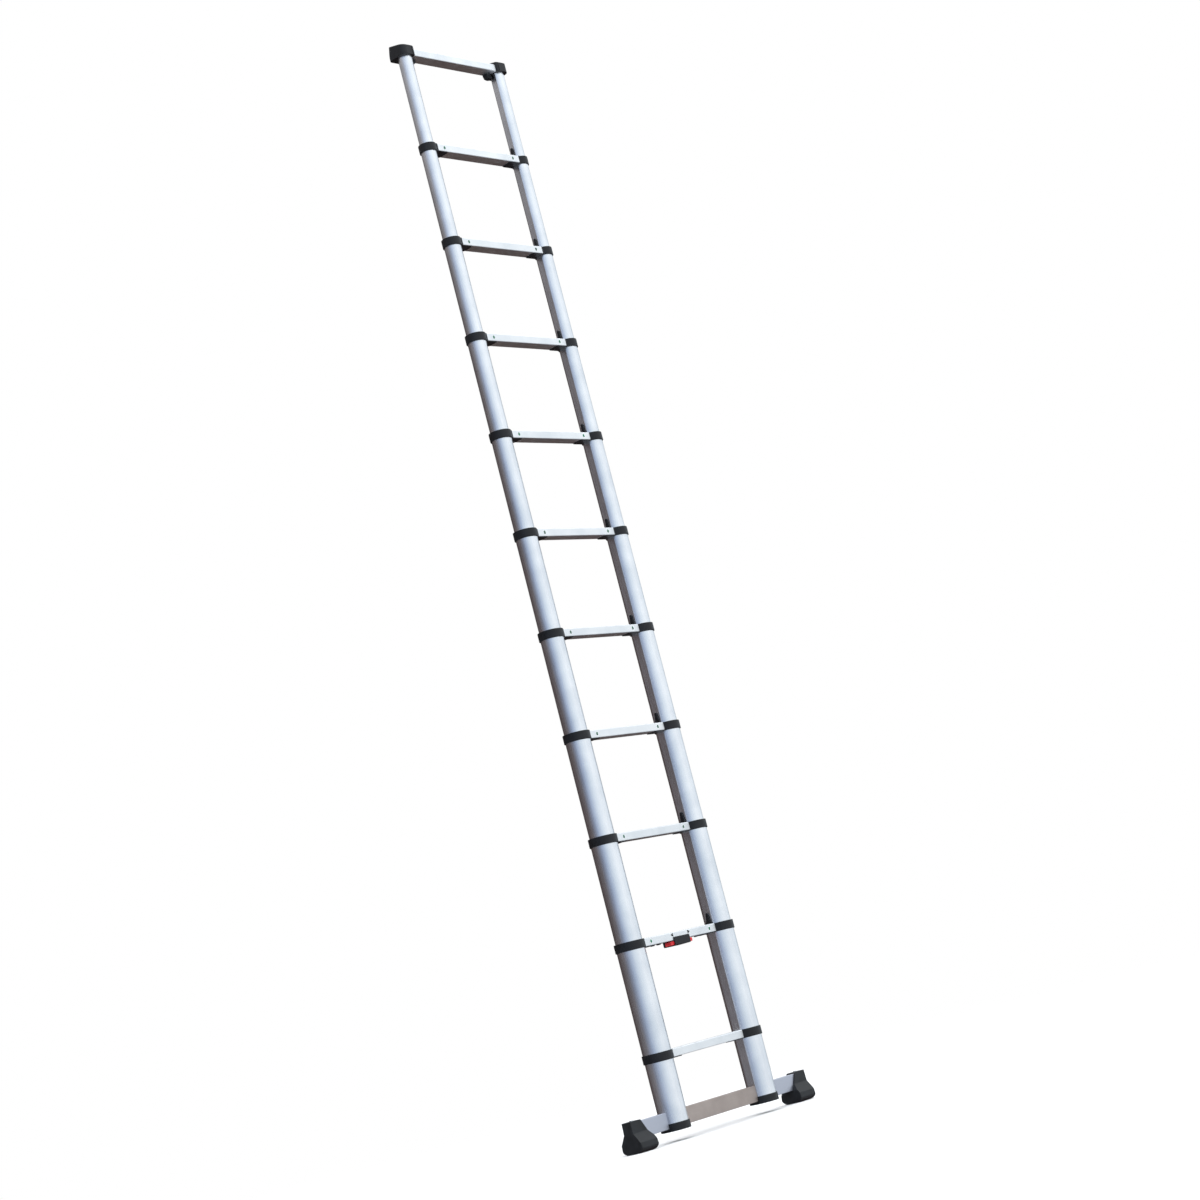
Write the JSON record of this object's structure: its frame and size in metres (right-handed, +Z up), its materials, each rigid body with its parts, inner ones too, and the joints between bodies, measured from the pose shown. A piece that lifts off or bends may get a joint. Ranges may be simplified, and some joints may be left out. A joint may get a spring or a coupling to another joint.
{
  "type": "telescopic extension ladder",
  "caption": "Telescopic extension ladder: nested D-section aluminium stiles that slide rung by rung, with spring lock pins, a wide stabiliser bar with rubber boots, and wall pads.",
  "frame": {"origin": "on the floor, midway between the stiles and in the middle of their depth", "axes": "+Z up along the stiles, +X along the rungs to the right seen from the front, +Y towards the wall"},
  "size_m": [0.748, 0.0854, 3.1905],
  "materials": {
    "stile_aluminium": "satin anodised",
    "rung_aluminium": "satin anodised, ribbed tread",
    "bar_aluminium": "satin anodised",
    "black_plastic": "fine moulded grain",
    "boot_rubber": "matt moulded rubber",
    "pin_steel": "turned",
    "screw_steel": "zinc plated",
    "red_plastic": "smooth moulded"
  },
  "bodies": {
    "section_1": {"stile_tubes_1": "stile_aluminium", "collars_1": "black_plastic", "rung_1": "rung_aluminium", "rung_1_brackets": "black_plastic", "rung_2": "rung_aluminium", "release_housing": "black_plastic", "stabiliser_bar": "bar_aluminium", "stile_feet": "black_plastic", "foot_screws": "screw_steel", "boot_left": "boot_rubber", "boot_right": "boot_rubber"},
    "section_2": {"stile_tubes_2": "stile_aluminium", "collars_and_bushes_2": "black_plastic", "rung_3": "rung_aluminium"},
    "section_3": {"stile_tubes_3": "stile_aluminium", "collars_and_bushes_3": "black_plastic", "rung_4": "rung_aluminium"},
    "section_4": {"stile_tubes_4": "stile_aluminium", "collars_and_bushes_4": "black_plastic", "rung_5": "rung_aluminium"},
    "section_5": {"stile_tubes_5": "stile_aluminium", "collars_and_bushes_5": "black_plastic", "rung_6": "rung_aluminium"},
    "section_6": {"stile_tubes_6": "stile_aluminium", "collars_and_bushes_6": "black_plastic", "rung_7": "rung_aluminium"},
    "section_7": {"stile_tubes_7": "stile_aluminium", "collars_and_bushes_7": "black_plastic", "rung_8": "rung_aluminium"},
    "section_8": {"stile_tubes_8": "stile_aluminium", "collars_and_bushes_8": "black_plastic", "rung_9": "rung_aluminium"},
    "section_9": {"stile_tubes_9": "stile_aluminium", "collars_and_bushes_9": "black_plastic", "rung_10": "rung_aluminium"},
    "section_10": {"stile_tubes_10": "stile_aluminium", "top_caps_and_bushes": "black_plastic", "rung_11": "rung_aluminium"},
    "release_left": {"release_button_left": "red_plastic", "lock_pin_2_left": "pin_steel"},
    "release_right": {"release_button_right": "red_plastic", "lock_pin_2_right": "pin_steel"},
    "lock_pin_3_left": {"lock_pin_3_left": "pin_steel"},
    "lock_pin_3_right": {"lock_pin_3_right": "pin_steel"},
    "lock_pin_4_left": {"lock_pin_4_left": "pin_steel"},
    "lock_pin_4_right": {"lock_pin_4_right": "pin_steel"},
    "lock_pin_5_left": {"lock_pin_5_left": "pin_steel"},
    "lock_pin_5_right": {"lock_pin_5_right": "pin_steel"},
    "lock_pin_6_left": {"lock_pin_6_left": "pin_steel"},
    "lock_pin_6_right": {"lock_pin_6_right": "pin_steel"},
    "lock_pin_7_left": {"lock_pin_7_left": "pin_steel"},
    "lock_pin_7_right": {"lock_pin_7_right": "pin_steel"},
    "lock_pin_8_left": {"lock_pin_8_left": "pin_steel"},
    "lock_pin_8_right": {"lock_pin_8_right": "pin_steel"},
    "lock_pin_9_left": {"lock_pin_9_left": "pin_steel"},
    "lock_pin_9_right": {"lock_pin_9_right": "pin_steel"},
    "lock_pin_10_left": {"lock_pin_10_left": "pin_steel"},
    "lock_pin_10_right": {"lock_pin_10_right": "pin_steel"}
  },
  "joints": [
    {"name": "section_2_slide", "type": "slide", "parent": "section_1", "child": "section_2", "axis": [0, 0, 1], "range_m": [-0.232, 0]},
    {"name": "section_3_slide", "type": "slide", "parent": "section_2", "child": "section_3", "axis": [0, 0, 1], "range_m": [-0.232, 0]},
    {"name": "section_4_slide", "type": "slide", "parent": "section_3", "child": "section_4", "axis": [0, 0, 1], "range_m": [-0.232, 0]},
    {"name": "section_5_slide", "type": "slide", "parent": "section_4", "child": "section_5", "axis": [0, 0, 1], "range_m": [-0.232, 0]},
    {"name": "section_6_slide", "type": "slide", "parent": "section_5", "child": "section_6", "axis": [0, 0, 1], "range_m": [-0.232, 0]},
    {"name": "section_7_slide", "type": "slide", "parent": "section_6", "child": "section_7", "axis": [0, 0, 1], "range_m": [-0.232, 0]},
    {"name": "section_8_slide", "type": "slide", "parent": "section_7", "child": "section_8", "axis": [0, 0, 1], "range_m": [-0.232, 0]},
    {"name": "section_9_slide", "type": "slide", "parent": "section_8", "child": "section_9", "axis": [0, 0, 1], "range_m": [-0.232, 0]},
    {"name": "section_10_slide", "type": "slide", "parent": "section_9", "child": "section_10", "axis": [0, 0, 1], "range_m": [-0.238, 0]},
    {"name": "release_left_slide", "type": "slide", "parent": "section_1", "child": "release_left", "axis": [-1, 0, 0], "range_m": [0, 0.006], "stiffness_N_per_m": 400, "springref_m": 0.006},
    {"name": "release_right_slide", "type": "slide", "parent": "section_1", "child": "release_right", "axis": [1, 0, 0], "range_m": [0, 0.006], "stiffness_N_per_m": 400, "springref_m": 0.006},
    {"name": "lock_pin_3_left_slide", "type": "slide", "parent": "section_2", "child": "lock_pin_3_left", "axis": [-1, 0, 0], "range_m": [0, 0.006], "stiffness_N_per_m": 400, "springref_m": 0.006},
    {"name": "lock_pin_3_right_slide", "type": "slide", "parent": "section_2", "child": "lock_pin_3_right", "axis": [1, 0, 0], "range_m": [0, 0.006], "stiffness_N_per_m": 400, "springref_m": 0.006},
    {"name": "lock_pin_4_left_slide", "type": "slide", "parent": "section_3", "child": "lock_pin_4_left", "axis": [-1, 0, 0], "range_m": [0, 0.006], "stiffness_N_per_m": 400, "springref_m": 0.006},
    {"name": "lock_pin_4_right_slide", "type": "slide", "parent": "section_3", "child": "lock_pin_4_right", "axis": [1, 0, 0], "range_m": [0, 0.006], "stiffness_N_per_m": 400, "springref_m": 0.006},
    {"name": "lock_pin_5_left_slide", "type": "slide", "parent": "section_4", "child": "lock_pin_5_left", "axis": [-1, 0, 0], "range_m": [0, 0.006], "stiffness_N_per_m": 400, "springref_m": 0.006},
    {"name": "lock_pin_5_right_slide", "type": "slide", "parent": "section_4", "child": "lock_pin_5_right", "axis": [1, 0, 0], "range_m": [0, 0.006], "stiffness_N_per_m": 400, "springref_m": 0.006},
    {"name": "lock_pin_6_left_slide", "type": "slide", "parent": "section_5", "child": "lock_pin_6_left", "axis": [-1, 0, 0], "range_m": [0, 0.006], "stiffness_N_per_m": 400, "springref_m": 0.006},
    {"name": "lock_pin_6_right_slide", "type": "slide", "parent": "section_5", "child": "lock_pin_6_right", "axis": [1, 0, 0], "range_m": [0, 0.006], "stiffness_N_per_m": 400, "springref_m": 0.006},
    {"name": "lock_pin_7_left_slide", "type": "slide", "parent": "section_6", "child": "lock_pin_7_left", "axis": [-1, 0, 0], "range_m": [0, 0.006], "stiffness_N_per_m": 400, "springref_m": 0.006},
    {"name": "lock_pin_7_right_slide", "type": "slide", "parent": "section_6", "child": "lock_pin_7_right", "axis": [1, 0, 0], "range_m": [0, 0.006], "stiffness_N_per_m": 400, "springref_m": 0.006},
    {"name": "lock_pin_8_left_slide", "type": "slide", "parent": "section_7", "child": "lock_pin_8_left", "axis": [-1, 0, 0], "range_m": [0, 0.006], "stiffness_N_per_m": 400, "springref_m": 0.006},
    {"name": "lock_pin_8_right_slide", "type": "slide", "parent": "section_7", "child": "lock_pin_8_right", "axis": [1, 0, 0], "range_m": [0, 0.006], "stiffness_N_per_m": 400, "springref_m": 0.006},
    {"name": "lock_pin_9_left_slide", "type": "slide", "parent": "section_8", "child": "lock_pin_9_left", "axis": [-1, 0, 0], "range_m": [0, 0.006], "stiffness_N_per_m": 400, "springref_m": 0.006},
    {"name": "lock_pin_9_right_slide", "type": "slide", "parent": "section_8", "child": "lock_pin_9_right", "axis": [1, 0, 0], "range_m": [0, 0.006], "stiffness_N_per_m": 400, "springref_m": 0.006},
    {"name": "lock_pin_10_left_slide", "type": "slide", "parent": "section_9", "child": "lock_pin_10_left", "axis": [-1, 0, 0], "range_m": [0, 0.006], "stiffness_N_per_m": 400, "springref_m": 0.006},
    {"name": "lock_pin_10_right_slide", "type": "slide", "parent": "section_9", "child": "lock_pin_10_right", "axis": [1, 0, 0], "range_m": [0, 0.006], "stiffness_N_per_m": 400, "springref_m": 0.006}
  ]
}
